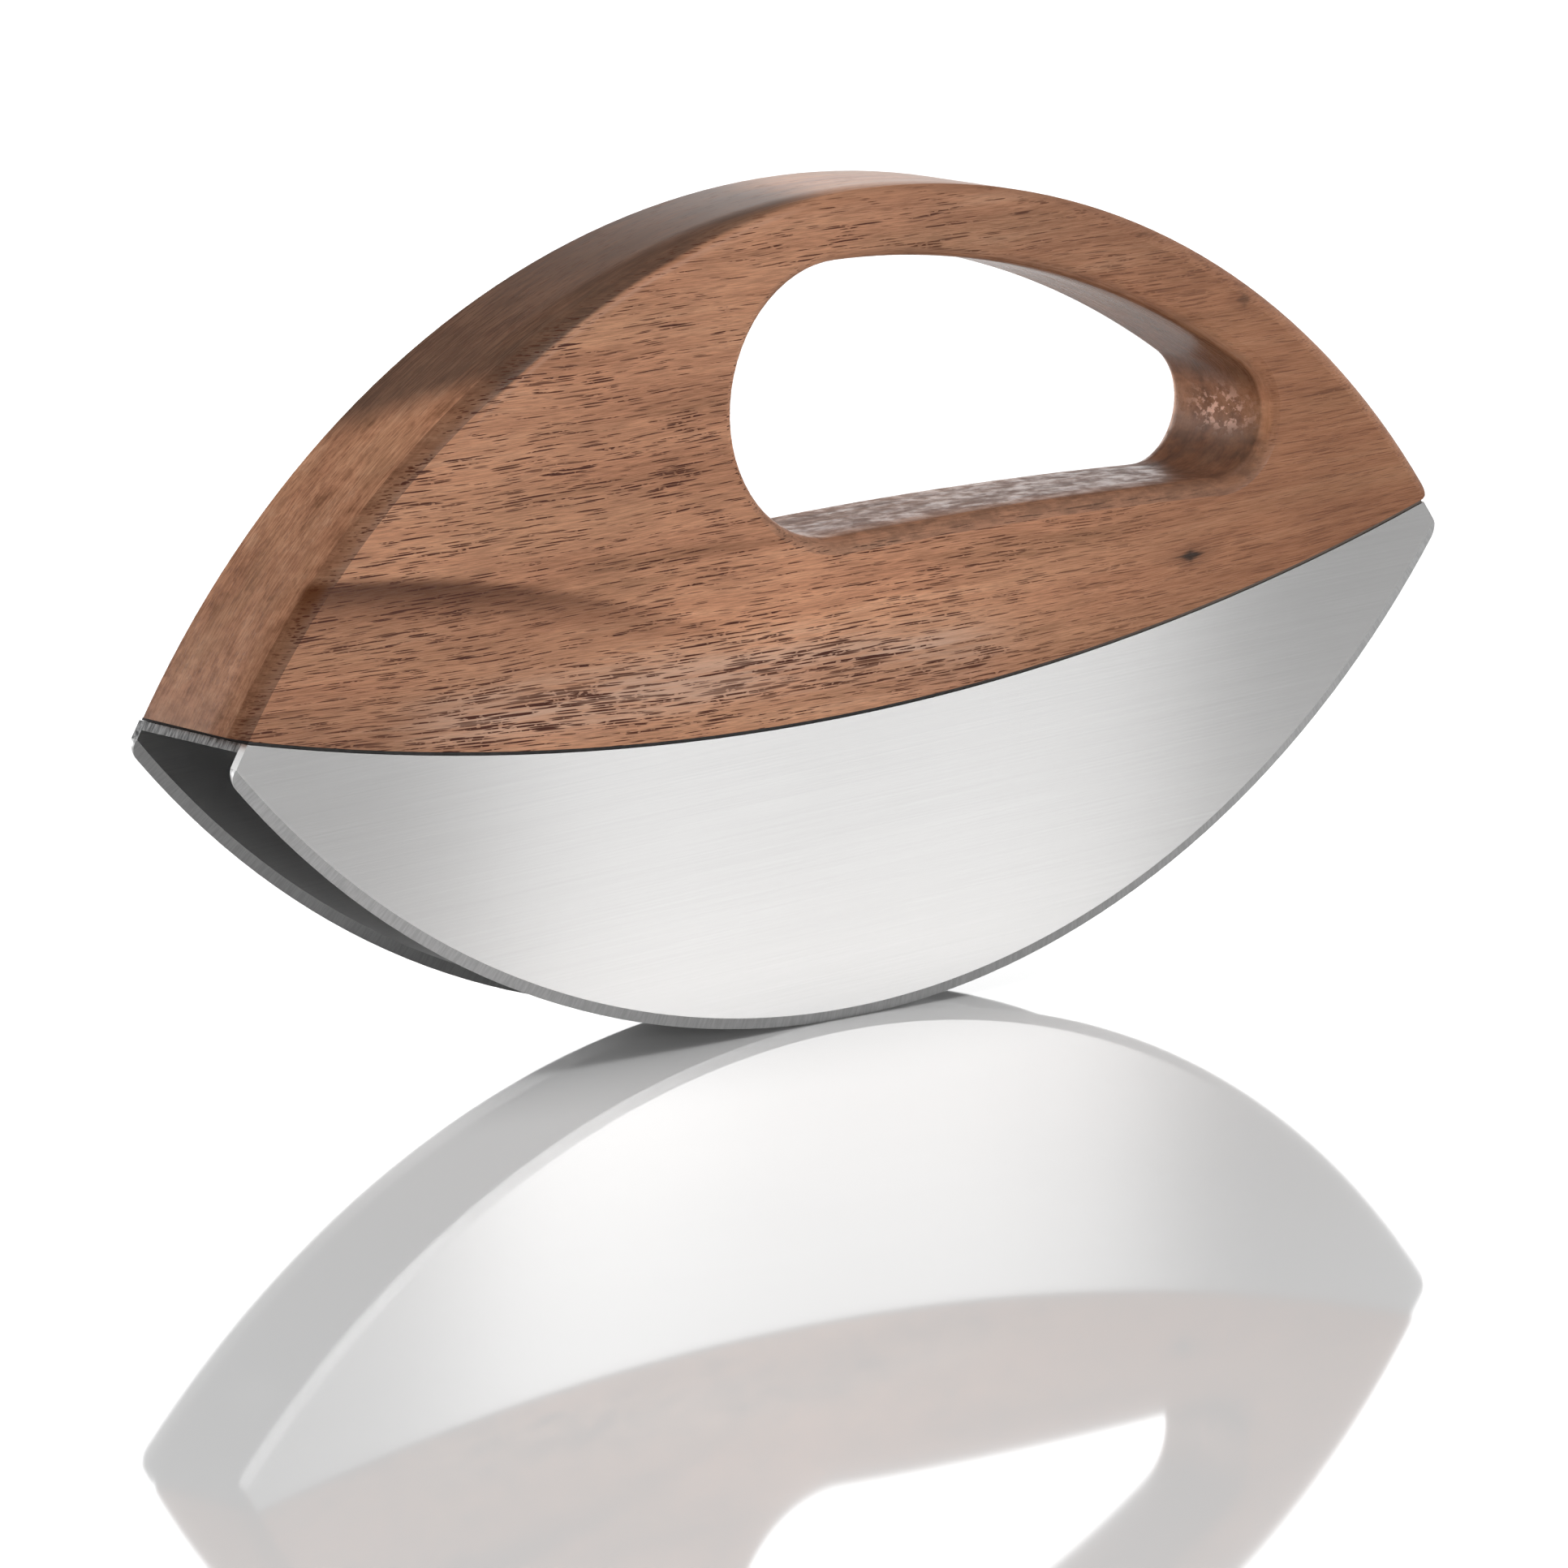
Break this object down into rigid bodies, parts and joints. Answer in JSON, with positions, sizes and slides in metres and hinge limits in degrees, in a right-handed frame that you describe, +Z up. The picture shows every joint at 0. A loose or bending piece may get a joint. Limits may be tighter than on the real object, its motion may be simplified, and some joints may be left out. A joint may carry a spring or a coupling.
{
  "type": "double-bladed mezzaluna",
  "caption": "Rocking herb chopper: parallel crescent steel blades joined by a bridge plate under an arched wooden handle with an off-centre hand hole.",
  "frame": {"origin": "bottom centre of the bounding box: midway between the blades, under mid-length, at the lowest point of the cutting edges", "axes": "+X along the length towards the narrow end of the hand hole, +Y through the thickness from the front blade to the rear blade, +Z up towards the arch of the handle"},
  "size_m": [0.1812, 0.0178, 0.0949],
  "materials": {
    "wood": "oiled walnut, satin",
    "steel": "fine brushed along the length",
    "bedding": "matte black",
    "fastener": "bright"
  },
  "bodies": {
    "root": {"handle": "wood", "seam_seal": "bedding", "bridge_plate": "steel", "front_blade": "steel", "rear_blade": "steel", "screw_1": "fastener", "screw_2": "fastener", "screw_3": "fastener", "screw_4": "fastener"}
  },
  "joints": []
}
